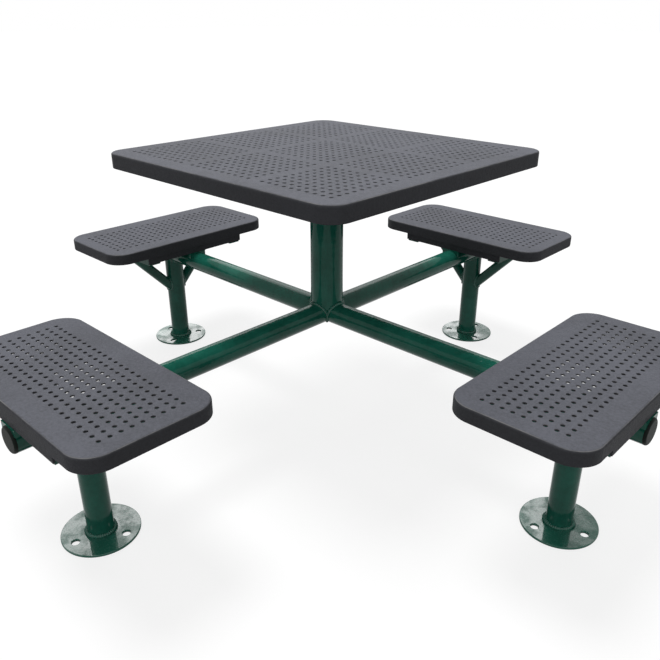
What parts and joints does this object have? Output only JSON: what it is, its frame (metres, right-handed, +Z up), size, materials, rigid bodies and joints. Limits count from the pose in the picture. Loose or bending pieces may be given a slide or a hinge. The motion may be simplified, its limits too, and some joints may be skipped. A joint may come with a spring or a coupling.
{
  "type": "outdoor table with attached seats",
  "caption": "Square perforated outdoor table on a centre column, with a perforated bench seat on an arm at each side and a bolt-down round foot flange under each seat.",
  "frame": {"origin": "on the floor under the axis of the centre column", "axes": "+Z up; the arms run along +X (right), +Y (back), -X (left) and -Y (front)"},
  "size_m": [1.806, 1.806, 0.762],
  "materials": {
    "coated_sheet": "dark slate grey plastic coating with a fine pebbled surface on perforated steel sheet",
    "frame_paint": "glossy dark green powder coat on welded steel",
    "end_plug": "black moulded plastic",
    "fastener": "zinc plated"
  },
  "bodies": {
    "root": {"arm_back": "frame_paint", "arm_end_plug_back": "end_plug", "arm_end_plug_front": "end_plug", "arm_end_plug_left": "end_plug", "arm_end_plug_right": "end_plug", "arm_front": "frame_paint", "arm_left": "frame_paint", "arm_right": "frame_paint", "arm_saddles": "frame_paint", "base_flange_back": "frame_paint", "base_flange_front": "frame_paint", "base_flange_left": "frame_paint", "base_flange_right": "frame_paint", "bearer_back": "frame_paint", "bearer_front": "frame_paint", "bearer_tie_left": "frame_paint", "bearer_tie_right": "frame_paint", "brace_1_back": "frame_paint", "brace_1_front": "frame_paint", "brace_1_left": "frame_paint", "brace_1_right": "frame_paint", "brace_2_back": "frame_paint", "brace_2_front": "frame_paint", "brace_2_left": "frame_paint", "brace_2_right": "frame_paint", "centre_column": "frame_paint", "column_top_plate": "frame_paint", "cross_bar_1_back": "frame_paint", "cross_bar_1_front": "frame_paint", "cross_bar_1_left": "frame_paint", "cross_bar_1_right": "frame_paint", "cross_bar_2_back": "frame_paint", "cross_bar_2_front": "frame_paint", "cross_bar_2_left": "frame_paint", "cross_bar_2_right": "frame_paint", "foot_welds": "frame_paint", "outrigger_back_left": "frame_paint", "outrigger_back_right": "frame_paint", "outrigger_front_left": "frame_paint", "outrigger_front_right": "frame_paint", "seat_back": "coated_sheet", "seat_front": "coated_sheet", "seat_left": "coated_sheet", "seat_post_back": "frame_paint", "seat_post_front": "frame_paint", "seat_post_left": "frame_paint", "seat_post_right": "frame_paint", "seat_rail_inner_back": "coated_sheet", "seat_rail_inner_front": "coated_sheet", "seat_rail_inner_left": "coated_sheet", "seat_rail_inner_right": "coated_sheet", "seat_rail_outer_back": "coated_sheet", "seat_rail_outer_front": "coated_sheet", "seat_rail_outer_left": "coated_sheet", "seat_rail_outer_right": "coated_sheet", "seat_right": "coated_sheet", "table_top": "coated_sheet", "top_bolts_and_nuts": "fastener"}
  },
  "joints": []
}
